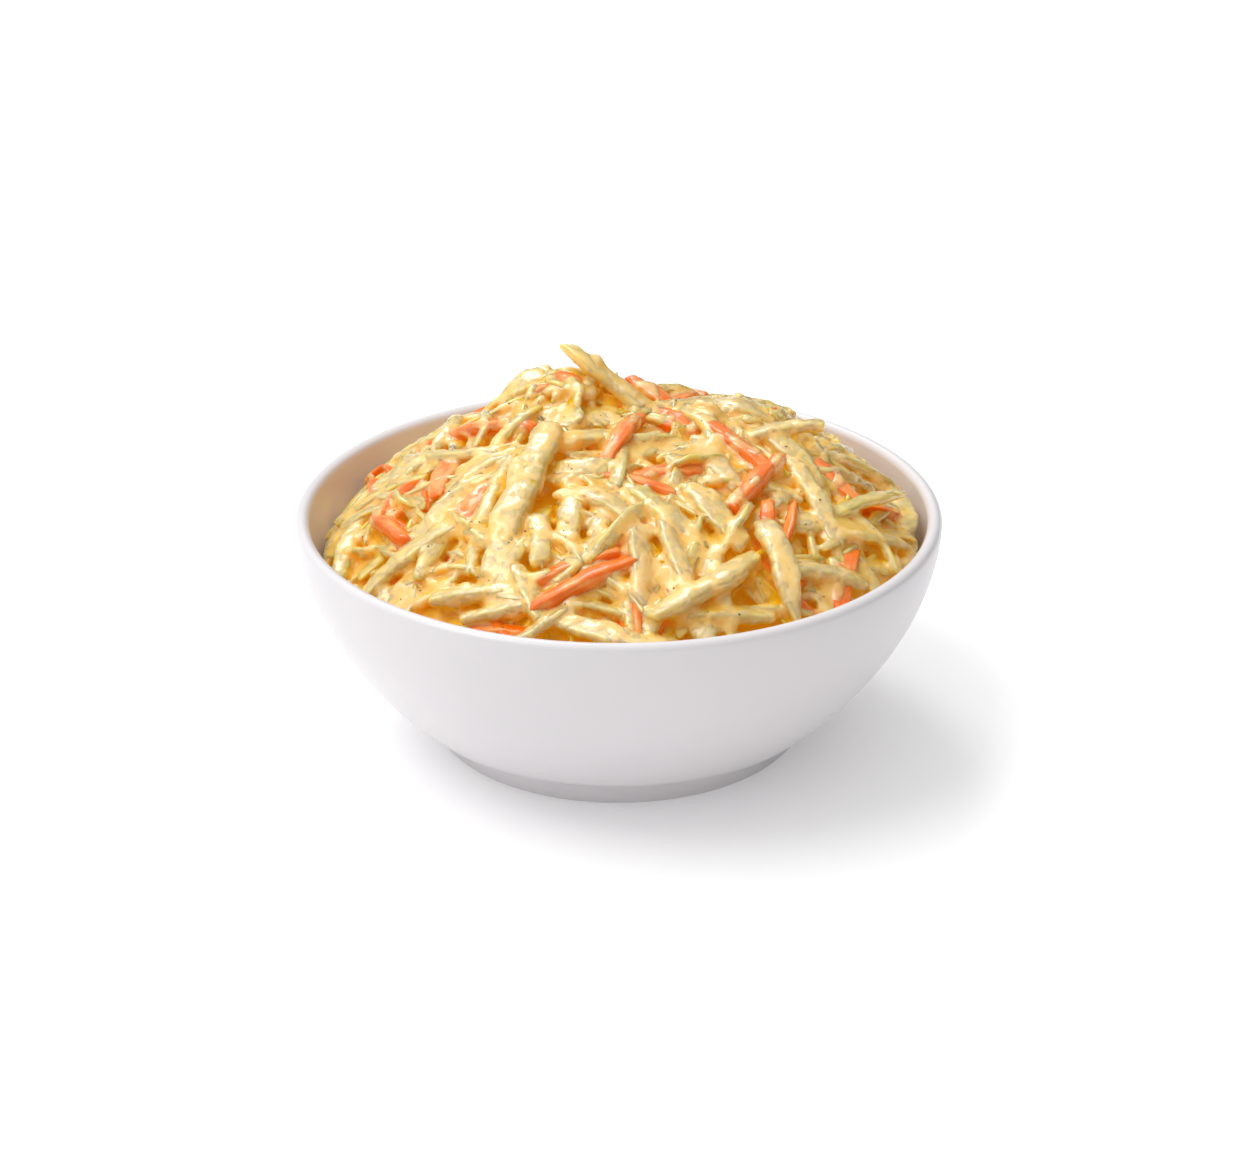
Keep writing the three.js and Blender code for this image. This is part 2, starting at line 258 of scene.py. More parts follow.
CABBAGE = [
    shred((-20, -23), (44, 7.4, 4.2), heading=74, rise=3.4, pitch=0.08, arch=0.02, tail=0.6),
    shred((-26, -24), (34, 3.4, 3), heading=76, rise=1.8, pitch=0.05, sweep=0.03),
    shred((-3, 16), (21, 4.8, 3), heading=159, rise=5.8, pitch=0.42, tip=0.12, tail=1.1),
    shred((-5, -30), (20, 4.6, 3), heading=-35, rise=2.4, sweep=0.16, tip=0.7, tail=0.5),
    shred((-16, -37), (15, 4.8, 3.6), heading=-88, rise=2.2, pitch=0.1),
    shred((5, -45), (19, 6, 2.4), heading=98, rise=1.8, pitch=0.1, tip=0.15, roll=30),
    shred((17, -48), (29, 5.6, 3.6), heading=-142, rise=2.6, sweep=0.1, arch=0.06),
    shred((33, -41), (24, 5.6, 3.2), heading=-74, rise=2.6, arch=0.14, tip=0.25),
    shred((20, -29), (21, 6.2, 3), heading=-56, rise=2, arch=0.03),
    shred((21, -9), (21, 5.6, 2.6), heading=-66, rise=1.6, sweep=-0.05),
    shred((32, 4), (26, 4.2, 2.8), heading=10, rise=3.4, pitch=0.46, tip=0.7, tail=0.7),
    shred((41, -14), (28, 4.4, 2.4), heading=-70, rise=1.8, arch=0.04),
    shred((52, -12), (27, 3.8, 2.2), heading=43, rise=4.6, pitch=0.24, tip=0.5, tail=0.6, green=0.6),
    shred((53, -19), (20, 7, 2.2), heading=24, rise=2, pitch=0.02, tip=0.2),
    shred((-29, -46), (19, 4.6, 3.4), heading=170, rise=1.8, pitch=0.06, tip=0.7),
    shred((-24, -51), (16, 3.6, 2.6), heading=-4, rise=1.6),
    shred((-18, -49), (15, 4.4, 3), heading=-66, rise=2),
    shred((-43, -31), (24, 4.8, 3), heading=20, rise=1.8, arch=0.05),
    shred((-36, 6), (28, 3.4, 2.6), heading=-42, rise=1.8, sweep=-0.1, green=0.5),
    shred((-19, 20), (14, 7, 3.2), heading=25, rise=1, arch=0.16, roll=12),
    shred((-11, 21), (12, 6, 3.2), heading=-40, rise=1.6, arch=0.14, roll=-14),
    shred((14, 17), (17, 4.6, 2.8), heading=30, rise=1.8),
    shred((27, 16), (18, 7.4, 2.8), heading=-20, rise=1, arch=0.12, roll=-8),
    shred((-7, -42), (17, 6, 2.8), heading=38, rise=1, arch=0.04),
    shred((42, -38), (20, 5, 3), heading=16, rise=1.6, arch=0.06, green=0.4),
    shred((21, -53), (22, 5, 2.8), heading=10, rise=1.2),
    shred((-57, -13), (17, 4.6, 3), heading=79, rise=0, sweep=0.08, green=0.8),
    shred((60, 2), (20, 4.6, 2.8), heading=94, rise=1, sweep=-0.14, green=0.6),
]
CARROT = [
    shred((-28, 8), (24, 3.6, 3), heading=-33, rise=2.4),
    shred((1, -3), (22, 4, 3), heading=70, rise=2.2, arch=0.06),
    shred((4, -20), (17, 3.2, 2.6), heading=-22, rise=1.6),
    shred((-29, -20), (17, 5, 3.4), heading=50, rise=1.2),
    shred((-48, -18), (17, 3.6, 3), heading=-62, rise=1.8),
    shred((-54, 13), (15, 3, 3), heading=96, rise=0.6),
    shred((25, -3), (24, 3.8, 3.2), heading=-50, rise=2.8),
    shred((29, -17), (24, 3.8, 3.2), heading=62, rise=3.4, pitch=0.06),
    shred((31, -26), (11, 3.4, 2.8), heading=84, rise=1.6),
    shred((-8, -44), (18, 3.2, 2.8), heading=18, rise=1.6),
    shred((-7, -49), (23, 3.8, 3.2), heading=23, rise=2.6),
    shred((7, 20), (13, 4.2, 3.4), heading=-36, rise=3, pitch=-0.3),
    shred((47, -4), (15, 3.4, 2.8), heading=-50, rise=1.8),
    shred((56, -6), (12, 2.8, 2.6), heading=38, rise=1.2),
    shred((35, -37), (12, 3, 2.8), heading=-64, rise=1),
    shred((-24, -53), (13, 3, 2.6), heading=-18, rise=-0.9),
]


class Draws:
    """The seeded generator that strewed the part's shreds, so that these lie where those do.
    Its odd numbers are those of the mulberry32 generator."""

    def __init__(self, seed):
        self.state = seed
        self.share()

    def share(self):
        word = 0xFFFFFFFF
        self.state = (self.state + 0x6D2B79F5) & word
        t = self.state
        t = ((t ^ (t >> 15)) * (t | 1)) & word
        t ^= (t + (((t ^ (t >> 7)) * (t | 61)) & word)) & word
        return ((t ^ (t >> 14)) & word) / 4294967296

    def between(self, low, high):
        share = self.share()
        return (1 - share) * low + share * high


def body_radius(z, inset):
    """Radius of the bowl's body curve at heights z, for a face that far inside the outer one."""
    depth = np.clip((BOWL_HEIGHT - LIP - np.asarray(z, float)) / (BODY_DEPTH - inset), 0, 1)
    return (RIM_RADIUS - inset) * (1 - depth**BODY_POWER) ** (1 / BODY_POWER)


def inside_radius(z):
    return body_radius(np.minimum(z, BOWL_HEIGHT - LIP), WALL)


def heap_height(x, y):
    """Height of the heap's lay surface over points in plan."""
    shift = DOME_SHIFT * (1 - (x * x + y * y) / HEAP_RADIUS**2)
    reach = np.minimum(1.1, np.hypot(x, y - shift) / HEAP_RADIUS)
    edge = EDGE_HEIGHT + EDGE_TILT * x / HEAP_RADIUS
    height = edge + (DOME_HEIGHT - edge) * (1 - reach**DOME_POWER)
    for mx, my, rise, spread in MOUNDS:
        height = height + rise * np.exp(-((x - mx) ** 2 + (y - my) ** 2) / (2 * spread**2))
    return height


def centre_line(s, lie):
    """Points on a shred's centre line, s from -0.5 at its tail to 0.5 at its tip."""
    angle = math.radians(lie["heading"])
    length = lie["size"][0]
    bow = 1 - 4 * s * s
    along = length * s
    aside = length * lie["sweep"] * bow
    x = lie["at"][0] + math.cos(angle) * along - math.sin(angle) * aside
    y = lie["at"][1] + math.sin(angle) * along + math.cos(angle) * aside
    z = heap_height(x, y) + lie["rise"] + length * (lie["pitch"] * s + lie["arch"] * bow)
    return np.stack([x, y, z], -1)


def on_shred(s, across, above, lie):
    """Points beside a shred's centre line at s, that far across and above it before its taper."""
    forward = centre_line(s + SLOPE_STEP, lie) - centre_line(s - SLOPE_STEP, lie)
    forward /= np.linalg.norm(forward, axis=-1, keepdims=True)
    side = np.cross([0.0, 0.0, 1.0], forward)
    side /= np.linalg.norm(side, axis=-1, keepdims=True)
    over = np.cross(forward, side)
    turn = np.radians(lie["roll"] + lie["twist"] * s)[..., None]
    end = np.where(s > 0, lie["tip"], lie["tail"])
    taper = np.abs(2 * s) ** TAPER_POWER
    across = (across * (1 + (end - 1) * taper))[..., None]
    above = (above * (1 + (np.maximum(THINNEST_END, end) - 1) * taper))[..., None]
    aside = side * (across * np.cos(turn) - above * np.sin(turn))
    return centre_line(s, lie) + aside + over * (across * np.sin(turn) + above * np.cos(turn))


def fitted(lie):
    """The lie moved towards the axis until the shred clears the bowl, or None where none fits."""
    lie = dict(lie)
    _, width, thickness = lie["size"]
    s, across, above = np.meshgrid(
        np.linspace(-0.5, 0.5, lie["steps"] + 1),
        [-width / 2, width / 2],
        [-thickness / 2, thickness / 2],
    )
    for _ in range(FIT_TRIES):
        points = on_shred(s, across, above, lie)
        reach = np.hypot(points[..., 0], points[..., 1])
        past = np.max(reach - inside_radius(points[..., 2]) + SHRED_GAP)
        if past <= 0:
            return lie
        lie["at"] = lie["at"] * (1 - (past + FIT_MARGIN) / np.hypot(*lie["at"]))
    return None


def strewn_shreds(placed):
    """Shreds spread over the heap on a spiral, left out where a placed one's middle is near."""
    draw = Draws(STREWN_SEED).between
    found = []
    for i in range(STREWN):
        reach = STREWN_RADIUS * math.sqrt((i + 0.5) / STREWN)
        angle = i * GOLDEN_ANGLE
        x = reach * math.cos(angle) + draw(-STREWN_JITTER, STREWN_JITTER)
        y = reach * math.sin(angle) + draw(-STREWN_JITTER, STREWN_JITTER)
        heading = draw(0, 360)
        size = tuple(draw(*limit) for limit in STREWN_SIZE)
        turns = {name: draw(*limit) for name, limit in STREWN_TURNS.items()}
        lie = shred((x, y), size, heading=heading, steps=STREWN_STEPS, **turns)
        lie["carrot"] = i % CARROT_EVERY == CARROT_FROM
        lie["green"] = STREWN_GREEN if i % GREEN_EVERY == GREEN_FROM else 0
        if all(np.hypot(*(other["at"] - lie["at"])) > PLACED_CLEARANCE for other in placed):
            found.append(lie)
    return found


def filler_shreds(rng):
    """Thin shreds and ruffled bits of leaf at any lie, from the lay surface to well below it, and
    short bits heaped on the mounds."""
    draw = rng.uniform
    found = []
    for i in range(FILLERS + MOUND_BITS):
        reach = FILLER_RADIUS * math.sqrt(draw())
        angle = draw(0, 2 * math.pi)
        at = (reach * math.cos(angle), reach * math.sin(angle))
        size = tuple(draw(*limit) for limit in FILLER_SIZE)
        rise = draw(*HIGH_RISE) if draw() < HIGH_SHARE else draw(*LOW_RISE)
        rise = min(rise, EVEN_RISE) if reach > EVEN_RADIUS else rise
        roll = draw(*FILLER_ROLL)
        cup = draw(*FILLER_CUP)
        ruffle = draw(*FILLER_RUFFLE)
        if i % LEAF_EVERY == 0 and reach < EVEN_RADIUS:
            size = tuple(draw(*limit) for limit in LEAF_SIZE)
            cup = draw(*LEAF_CUP)
            ruffle = draw(*LEAF_RUFFLE)
        if i >= FILLERS:
            mx, my, _, spread = MOUNDS[i % len(MOUNDS)]
            reach = spread * MOUND_REACH * math.sqrt(draw())
            at = (mx + reach * math.cos(angle), my + reach * math.sin(angle))
            size = tuple(draw(*limit) for limit in MOUND_SIZE)
            rise = draw(*MOUND_RISE)
            roll = draw(*MOUND_ROLL)
        turns = {name: draw(*limit) for name, limit in FILLER_TURNS.items()}
        turns.update(rise=rise, roll=roll, cup=cup, ruffle=ruffle)
        lie = shred(at, size, steps=STREWN_STEPS, **turns)
        lie["carrot"] = draw() < FILLER_CARROT and size[1] < CARROT_WIDEST
        lie["green"] = draw(*GREEN_SHARE) if draw() < FILLER_GREEN else 0
        found.append(lie)
    return found


def squared(wave, squareness):
    """A cosine or sine pushed towards its ends, so that a round section becomes squarer."""
    return np.sign(wave) * np.abs(wave) ** (2 / squareness)


def tube_faces(rows, around):
    """Faces of rings of points, closed at both ends by the two points that follow the rings."""
    ring = np.arange(around)
    following = np.roll(ring, -1)
    start = (np.arange(rows - 1) * around)[:, None]
    quads = np.stack(
        [start + ring, start + following, start + around + following, start + around + ring], -1
    )
    first = rows * around
    end = first - around
    tips = [(first, b, a) for a, b in zip(ring, following)]
    tips += [(first + 1, end + a, end + b) for a, b in zip(ring, following)]
    return quads.reshape(-1, 4).tolist() + tips


def shred_mesh(lie, stations, around, squareness, rng):
    """A shred as a closed tube with rounded ends: its points, faces and undeformed places in mm."""
    length, width, thickness = lie["size"]
    u = np.sin(np.linspace(-1, 1, stations + 2)[1:-1] * math.pi / 2)
    cap = min(LONGEST_END, BLUNT_END * width / length)
    rounding = np.sqrt(1 - np.clip((np.abs(u) - 1 + cap) / cap, 0, 0.995) ** 2)[:, None]
    theta = np.linspace(0, 2 * math.pi, around, endpoint=False)
    flat = squared(np.cos(theta), squareness)
    tall = squared(np.sin(theta), squareness)
    phase = rng.uniform(0, 2 * math.pi, 6)
    place = u[:, None] * length / 2
    swell = 1
    for (share, rate, turns), start in zip(SWELLS, phase):
        swell = swell + share * np.sin(place * rate + turns * theta + start)
    across = width / 2 * flat * rounding * swell
    across = across + WAVER * width * np.sin(place * WAVER_RATE + phase[4])
    above = thickness / 2 * tall * rounding * swell
    above = above + lie["cup"] * width * (flat**2 - CUP_LEVEL) * rounding
    above = above + lie["ruffle"] * flat**3 * np.sin(place * RUFFLE_RATE + phase[3])
    slant = rng.uniform(-CUT_SLANT, CUT_SLANT, 2)
    cut = np.where(u > 0, slant[0], slant[1]) * np.abs(u) ** CUT_POWER
    s = np.repeat(u[:, None] / 2, around, 1) + cut[:, None] * across / length
    points = on_shred(s, across, above, lie).reshape(-1, 3)
    poles = on_shred(np.array([-0.5, 0.5]), np.zeros(2), np.zeros(2), lie)
    local = np.stack([np.broadcast_to(place, across.shape), across, above], -1).reshape(-1, 3)
    local_poles = np.array([[-length / 2, 0, 0], [length / 2, 0, 0]])
    faces = tube_faces(stations, around)
    return np.vstack([points, poles]), faces, np.vstack([local, local_poles])


def mesh_object(name, points, faces, attributes=None, smooth=True):
    """A mesh object from points in mm, with its named values at each point."""
    mesh = bpy.data.meshes.new(name)
    mesh.from_pydata((np.asarray(points) * MM).tolist(), [], [tuple(map(int, f)) for f in faces])
    for key, values in (attributes or {}).items():
        values = np.asarray(values, np.float32)
        kind, field = ("FLOAT_VECTOR", "vector") if values.ndim == 2 else ("FLOAT", "value")
        layer = mesh.attributes.new(key, kind, "POINT")
        layer.data.foreach_set(field, values.ravel())
    mesh.polygons.foreach_set("use_smooth", [smooth] * len(mesh.polygons))
    mesh.update()
    obj = bpy.data.objects.new(name, mesh)
    bpy.context.scene.collection.objects.link(obj)
    return obj


def heap_piece(name, lies, form):
    """Many shreds joined in one piece, each with its own tone, green and undeformed places."""
    rng = np.random.default_rng(form["seed"])
    points = []
    faces = []
    values = {"lay": [], "tone": [], "green": []}
    count = 0
    for lie in lies:
        p, f, local = shred_mesh(lie, form["stations"], form["around"], form["squareness"], rng)
        points.append(p)
        faces.extend([[i + count for i in face] for face in f])
        count += len(p)
        values["lay"].append(local + rng.uniform(-LAY_SPREAD, LAY_SPREAD, 3))
        values["tone"].append(np.full(len(p), form["tone"] * rng.uniform()))
        greener = 0.6 + 0.4 * np.sin(local[:, 0] * GREEN_RATE + rng.uniform(0, 6))
        values["green"].append(lie["green"] * np.clip(greener, 0, 1))
    joined = {key: np.concatenate(value) for key, value in values.items()}
    return mesh_object(name, np.vstack(points), faces, joined)


def revolved(name, profile, sides):
    """A surface of revolution from a section of (radius, height), closed where it meets the axis."""
    profile = np.asarray(profile, float)
    inner = profile[1:-1]
    angle = np.linspace(0, 2 * math.pi, sides, endpoint=False)
    x = np.outer(inner[:, 0], np.cos(angle))
    y = np.outer(inner[:, 0], np.sin(angle))
    z = np.repeat(inner[:, 1:], sides, 1)
    ends = [[0, 0, profile[0, 1]], [0, 0, profile[-1, 1]]]
    points = np.vstack([np.stack([x, y, z], -1).reshape(-1, 3), ends])
    return mesh_object(name, points, tube_faces(len(inner), sides))


def wall_curve(from_z, to_z, steps, inset):
    """Section points of the bowl's wall between two heights."""
    z = np.linspace(from_z, to_z, steps + 1)
    return np.stack([body_radius(z, inset), z], -1)


def bowl_profile():
    """The bowl's section from the axis under its floor, up the outside and down the inside."""
    turn = np.linspace(0, math.pi, 13)[1:-1]
    rim_z = BOWL_HEIGHT - LIP
    lip = np.stack([RIM_RADIUS - LIP + LIP * np.cos(turn), rim_z + LIP * np.sin(turn)], -1)
    ring_inside = FOOT_BASE_RADIUS - FOOT_RING
    foot = [
        (0, FOOT_RECESS),
        (ring_inside - FOOT_DRAFT - 1, FOOT_RECESS),
        (ring_inside - FOOT_DRAFT, FOOT_RECESS - 0.2),
        (ring_inside - 0.1, 0.5),
        (ring_inside + 0.5, 0),
        (FOOT_BASE_RADIUS - 0.5, 0),
        (FOOT_BASE_RADIUS, 0.45),
        (FOOT_TOP_RADIUS - 0.2, FOOT_HEIGHT - 0.5),
        (FOOT_TOP_RADIUS + 0.3, FOOT_HEIGHT),
    ]
    outside = wall_curve(FOOT_HEIGHT + CREASE, rim_z, 26, 0)
    inside = wall_curve(rim_z, FLOOR + FLOOR_RISE, 22, WALL)
    floor = [(FLOOR_RADIUS, FLOOR), (0, FLOOR)]
    return np.vstack([foot, outside, lip, inside, floor])


def wave_noise(points, lengths, seed):
    """Smooth noise from about -1 to 1: waves of the given lengths in drawn directions."""
    rng = np.random.default_rng(seed)
    total = np.zeros(len(points))
    for length in lengths:
        for _ in range(WAVES):
            direction = rng.normal(size=3)
            direction *= 2 * math.pi / length / np.linalg.norm(direction)
            total += np.sin(points @ direction + rng.uniform(0, 2 * math.pi))
    return total / math.sqrt(WAVES * len(lengths)) / 1.2


def core_piece(name, depth, gap, bottom, sides=96, rings=40):
    """The dressed mass under the shreds: a closed body from that depth under the lay surface down
    the bowl's wall to the bottom height."""
    edge_z = EDGE_HEIGHT - EDGE_TILT - depth
    wall = [(float(inside_radius(z)) - gap, z) for z in np.linspace(edge_z - 1, bottom, 9)]
    radius = float(inside_radius(edge_z)) - gap
    top = [(radius * math.sqrt(i / rings), BOWL_HEIGHT) for i in range(1, rings + 1)]
    core = revolved(name, [(0, BOWL_HEIGHT)] + top + wall + [(0, bottom)], sides)
    points = mesh_points(core.data)
    plan = np.column_stack([points[:, :2], np.zeros(len(points))])
    lumps = CORE_LUMP_HEIGHT * wave_noise(plan, CORE_LUMPS, CORE_SEED)
    reach = np.hypot(points[:, 0], points[:, 1]) / radius
    depths = depth * (1 - CORE_EDGE_SHARE * reach**6)
    lay = heap_height(points[:, 0], points[:, 1]) - depths + lumps
    points[:, 2] = np.where(points[:, 2] >= BOWL_HEIGHT - 0.5, lay, points[:, 2])
    put_points(core.data, points)
    core.data.update()
    return core


def mesh_points(mesh):
    """A mesh's points, in mm."""
    points = np.zeros(len(mesh.vertices) * 3, np.float32)
    mesh.vertices.foreach_get("co", points)
    return points.reshape(-1, 3).astype(float) / MM


def put_points(mesh, points):
    """Moves a mesh's points to new places in mm."""
    mesh.vertices.foreach_set("co", (points * MM).astype(np.float32).ravel())


def mesh_edges(mesh):
    edges = np.zeros(len(mesh.edges) * 2, np.int32)
    mesh.edges.foreach_get("vertices", edges)
    return edges.reshape(-1, 2)


def evaluated(obj):
    """The object's mesh with its modifiers applied. The object itself is removed."""
    ready = obj.evaluated_get(bpy.context.evaluated_depsgraph_get())
    mesh = bpy.data.meshes.new_from_object(ready)
    bpy.data.objects.remove(obj)
    return mesh


def joined_copy(name, objects):
    """One mesh object with copies of the faces of several."""
    points = []
    faces = []
    count = 0
    for obj in objects:
        points.append(mesh_points(obj.data))
        faces.extend([[i + count for i in polygon.vertices] for polygon in obj.data.polygons])
        count += len(points[-1])
    return mesh_object(name, np.vstack(points), faces)


def relaxed(points, edges, rounds, share):
    """Points drawn towards the mean of their neighbours, which rounds ridges and fills creases."""
    a, b = edges.T
    degree = np.bincount(np.concatenate([a, b]), minlength=len(points))[:, None]
    for _ in range(rounds):
        total = np.zeros_like(points)
        for axis in range(3):
            total[:, axis] = np.bincount(a, points[b, axis], len(points))
            total[:, axis] += np.bincount(b, points[a, axis], len(points))
        points = points + share * (total / np.maximum(degree, 1) - points)
    return points


def vertex_normals(mesh):
    normals = np.zeros(len(mesh.vertices) * 3, np.float32)
    mesh.vertex_normals.foreach_get("vector", normals)
    return normals.reshape(-1, 3).astype(float)


def tree_of(obj):
    """A search tree over an object's faces, in mm."""
    points = mesh_points(obj.data)
    return BVHTree.FromPolygons(points.tolist(), [tuple(p.vertices) for p in obj.data.polygons])


def carried(points, objects, keys, reach):
    """Each point's distance to the objects, up to reach, and the values there of attributes."""
    best = np.full(len(points), float(reach))
    found = {key: np.zeros(len(points)) for key in keys}
    for obj in objects:
        tree = tree_of(obj)
        corner = np.array([p.vertices[0] for p in obj.data.polygons])
        values = {}
        for key in keys:
            values[key] = np.zeros(len(obj.data.vertices), np.float32)
            obj.data.attributes[key].data.foreach_get("value", values[key])
        nearest = np.full(len(points), -1)
        for i, point in enumerate(points):
            _, _, face, away = tree.find_nearest(point, best[i])
            if face is not None and away < best[i]:
                best[i] = away
                nearest[i] = corner[face]
        hit = nearest >= 0
        for key in keys:
            found[key][hit] = values[key][nearest[hit]]
    return best, found


def openness(points, normals, tree):
    """The share of directions above each point that is free, weighted by how much they face it."""
    turn = (np.arange(OPEN_RAYS) + 0.5) / OPEN_RAYS
    height = OPEN_LOWEST + (1 - OPEN_LOWEST) * turn
    flat = np.sqrt(1 - height**2)
    spin = np.arange(OPEN_RAYS) * GOLDEN_ANGLE
    rays = np.stack([flat * np.cos(spin), flat * np.sin(spin), height], -1)
    facing = normals @ rays.T
    starts = points + OPEN_START * normals
    free = np.zeros(len(points))
    total = np.maximum(np.clip(facing, 0, 1).sum(1), OPEN_LEAST)
    for j, ray in enumerate(rays):
        direction = Vector(ray)
        for i in np.nonzero(facing[:, j] > 0)[0]:
            if tree.ray_cast(starts[i], direction, OPEN_REACH)[0] is None:
                free[i] += facing[i, j]
    return free / total


def mound_share(points):
    """1 at the middle of the heap's first mound, which is knobbly, falling to 0 around it."""
    mx, my, _, spread = MOUNDS[0]
    return np.exp(-((points[:, 0] - mx) ** 2 + (points[:, 1] - my) ** 2) / (2 * spread**2))


def spread_to_neighbours(shown, edges, rounds):
    """The points that are shown, and those within so many edges of them."""
    a, b = edges.T
    for _ in range(rounds):
        wider = shown.copy()
        wider[a[shown[b]]] = True
        wider[b[shown[a]]] = True
        shown = wider
    return shown


def thickened(points, normals, edges, carrot_pieces):
    """The skin's points pushed out in creases and patches, and in on the carrots' bare stretches,
    all inside the bowl."""
    filled = relaxed(points, edges, FILL_RELAX, 0.6)
    outward = np.clip(np.sum((filled - points) * normals, 1), 0, FILL_MOST)
    away, _ = carried(points, carrot_pieces, (), CARROT_REACH)
    on_carrot = np.clip(1 - (away - 0.25) / 0.5, 0, 1)
    patches = wave_noise(points, PATCHES, 5)
    curds = CURD_HEIGHT * wave_noise(points, CURDS, 6)
    knobs = KNOB_HEIGHT * (wave_noise(points, KNOBS, 7) * mound_share(points))
    bare = CARROT_BARE * on_carrot * np.clip(0.8 - 1.5 * patches, 0, 1)
    patches = PATCH_HEIGHT * np.clip(patches - PATCH_FROM, 0, 1)
    thick = outward + COAT + patches + curds + knobs - bare
    points = points + normals * thick[:, None]
    reach = np.hypot(points[:, 0], points[:, 1])
    limit = inside_radius(points[:, 2]) - SKIN_GAP
    points[:, :2] *= np.minimum(1, limit / np.maximum(reach, 1e-6))[:, None]
    return points


def dressing_skin(shred_pieces, carrot_pieces):
    """Shreds and core remeshed as one skin and thickened, as a mesh."""
    slab = core_piece("slab", CORE_DEPTH, CORE_GAP, EDGE_HEIGHT - EDGE_TILT - CORE_DEPTH - SLAB)
    source = joined_copy("dressing_source", shred_pieces + carrot_pieces + [slab])
    remesh = source.modifiers.new("skin", "REMESH")
    remesh.mode = "VOXEL"
    remesh.voxel_size = VOXEL * MM
    skin = evaluated(source)
    bpy.data.objects.remove(slab)
    edges = mesh_edges(skin)
    points = relaxed(mesh_points(skin), edges, DRESSING_RELAX, 0.5)
    put_points(skin, points)
    skin.update()
    put_points(skin, thickened(points, vertex_normals(skin), edges, carrot_pieces))
    return decimated(skin, DRESSING_TRIANGLES)


def seen_part(polygons, edges, free):
    """The points and faces of a skin near any point that is free, the faces by their new points."""
    shown = spread_to_neighbours(free > 0, edges, 3)
    faces = [face for face in polygons if all(shown[i] for i in face)]
    used = np.unique(np.concatenate([np.array(f) for f in faces]))
    index = np.full(len(free), -1)
    index[used] = np.arange(len(used))
    return used, [[index[i] for i in face] for face in faces]


def dressing_over(shred_pieces, carrot_pieces):
    """The dressing: one skin with its creases filled and its ridges kept, thicker in patches,
    dropped off the carrots' bare stretches and cut where it is hidden. It carries the tones of
    what it covers."""
    skin = dressing_skin(shred_pieces, carrot_pieces)
    points = mesh_points(skin)
    normals = vertex_normals(skin)
    edges = mesh_edges(skin)
    polygons = [tuple(p.vertices) for p in skin.polygons]
    depth = heap_height(points[:, 0], points[:, 1]) - points[:, 2]
    tree = BVHTree.FromPolygons(points.tolist(), polygons)
    free = openness(points, np.where((depth < DEEPEST)[:, None], normals, 0), tree)
    used, faces = seen_part(polygons, edges, free)
    free = relaxed(np.repeat(free[:, None], 3, 1), edges, 2, 0.5)[used, 0]
    ridge = np.sum((points - relaxed(points, edges, 5, 0.6)) * normals, 1)[used] / RIDGE_HEIGHT
    points = points[used]
    away, _ = carried(points, carrot_pieces, (), CARROT_REACH)
    _, covered = carried(points, shred_pieces, ("tone", "green"), TONE_REACH)
    attributes = {"near_carrot": 1 - away / CARROT_REACH, "open": free, "ridge": ridge, **covered}
    return mesh_object("dressing", points, faces, attributes)


def decimated(mesh, triangles):
    """The mesh brought down to about that many triangles, fewest where it is flat."""
    obj = bpy.data.objects.new("dense", mesh)
    bpy.context.scene.collection.objects.link(obj)
    mesh.calc_loop_triangles()
    thin = obj.modifiers.new("thin", "DECIMATE")
    thin.ratio = min(1, triangles / len(mesh.loop_triangles))
    return evaluated(obj)


def add_openness(obj, tree):
    """Stores how open the object's points are under the dressing's search tree, for their painted
    shade, and that they lie on a ridge, as what stands out of the dressing does, for a painted
    highlight."""
    values = openness(mesh_points(obj.data), vertex_normals(obj.data), tree)
    for key, value in (("open", values), ("ridge", np.full(len(values), 0.4))):
        layer = obj.data.attributes.new(key, "FLOAT", "POINT")
        layer.data.foreach_set("value", value.astype(np.float32))


def fleck_piece(objects):
    """Flecks of pepper and herb: small crooked eight-sided grains set into the heap's surface."""
    rng = np.random.default_rng(FLECK_SEED)
    trees = [tree_of(obj) for obj in objects]
    points = []
    faces = []
    tone = []
    corners = np.array([(1, 0, 0), (0, 1, 0), (-1, 0, 0), (0, -1, 0), (0, 0, 1), (0, 0, -1)], float)
    sides = [(0, 1, 4), (1, 2, 4), (2, 3, 4), (3, 0, 4), (1, 0, 5), (2, 1, 5), (3, 2, 5), (0, 3, 5)]
    while len(points) < FLECKS:
        reach = FLECK_RADIUS * math.sqrt(rng.uniform())
        angle = rng.uniform(0, 2 * math.pi)
        start = Vector((reach * math.cos(angle), reach * math.sin(angle), FLECK_TOP))
        hits = [tree.ray_cast(start, Vector((0, 0, -1))) for tree in trees]
        hits = [hit for hit in hits if hit[0] is not None]
        if not hits:
            continue
        spot, normal, _, _ = min(hits, key=lambda hit: hit[3])
        size = rng.uniform(*FLECK_SIZE)
        crooked = corners * size * rng.uniform(0.6, 1.3, (6, 1))
        grain = crooked * (1.0, rng.uniform(0.5, 1), FLECK_FLATNESS)
        turn = normal.to_track_quat("Z", "Y").to_matrix()
        count = 6 * len(points)
        points.append(grain @ np.array(turn).T + np.array(spot) + FLECK_OUT * np.array(normal))
        faces += [tuple(i + count for i in side) for side in sides]
        tone += [rng.uniform()] * 6
    return mesh_object("flecks", np.vstack(points), faces, {"tone": tone}, smooth=False)


def new_material(name):
    """A material with its node tree and shader. Its glow isn't sampled as a lamp is."""
    material = bpy.data.materials.new(name)
    material.use_nodes = True
    material.cycles.emission_sampling = "NONE"
    tree = material.node_tree
    shader = tree.nodes["Principled BSDF"]
    return material, tree, shader


def add(tree, kind, **settings):
    """A new node with its own settings, or its inputs' values, by name."""
    node = tree.nodes.new(kind)
    for key, value in settings.items():
        if hasattr(node, key):
            setattr(node, key, value)
        else:
            node.inputs[key.replace("_", " ")].default_value = value
    return node


